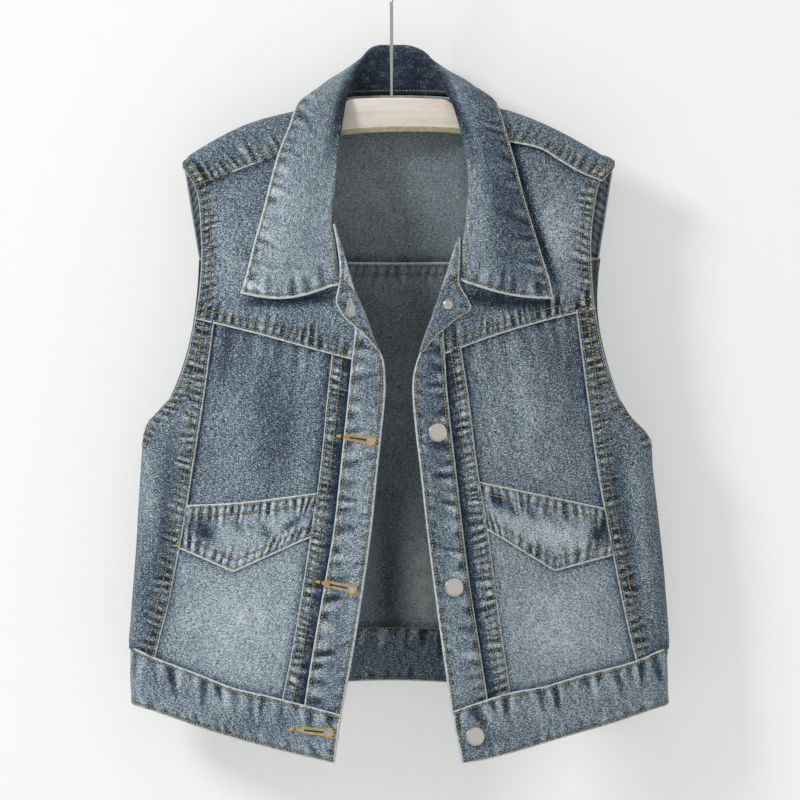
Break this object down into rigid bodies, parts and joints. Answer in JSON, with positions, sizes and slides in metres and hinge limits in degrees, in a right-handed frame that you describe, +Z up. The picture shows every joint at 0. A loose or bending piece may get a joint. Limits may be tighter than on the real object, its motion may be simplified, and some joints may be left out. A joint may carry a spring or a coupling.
{
  "type": "denim vest on a wooden hanger",
  "caption": "Sleeveless cropped denim vest with a turned-down collar, chest yokes, slanted pocket yokes, shank buttons and a waistband, hanging open on a plain wooden hanger.",
  "frame": {"origin": "inside top of the hook, on the stem's axis, where a rod or peg carries the hanger", "axes": "+Z up, the vest's front faces -Y, and the wearer's right side is towards -X"},
  "size_m": [0.4936, 0.1149, 0.7489],
  "materials": {
    "body_denim": "stone-washed mid-blue denim twill",
    "yoke_denim": "stone-washed mid-blue denim twill",
    "pocket_denim": "faded light blue denim twill",
    "collar_denim": "stone-washed grey-blue denim twill",
    "band_denim": "stone-washed mid-blue denim twill, doubled",
    "beech": "pale satin lacquer",
    "wire": "polished wire",
    "nickel": "satin nickel"
  },
  "bodies": {
    "root": {"right_front_yoke": "yoke_denim", "right_front_side_panel": "body_denim", "right_front_centre_panel": "body_denim", "right_front_strip": "body_denim", "right_placket": "band_denim", "right_lapel": "band_denim", "right_pocket_yoke": "pocket_denim", "right_pocket_body": "pocket_denim", "left_front_yoke": "yoke_denim", "left_front_side_panel": "body_denim", "left_front_centre_panel": "body_denim", "left_front_strip": "body_denim", "left_placket": "band_denim", "left_lapel": "band_denim", "left_pocket_yoke": "pocket_denim", "left_pocket_body": "pocket_denim", "back_yoke": "yoke_denim", "back_panel": "body_denim", "waistband": "band_denim", "collar": "collar_denim", "button_cap_2": "nickel", "button_cap_3": "nickel", "button_cap_4": "nickel", "button_tack_1": "nickel", "button_tack_2": "nickel", "button_tack_3": "nickel", "button_tack_4": "nickel", "hanger": "beech", "hook": "wire"}
  },
  "joints": []
}
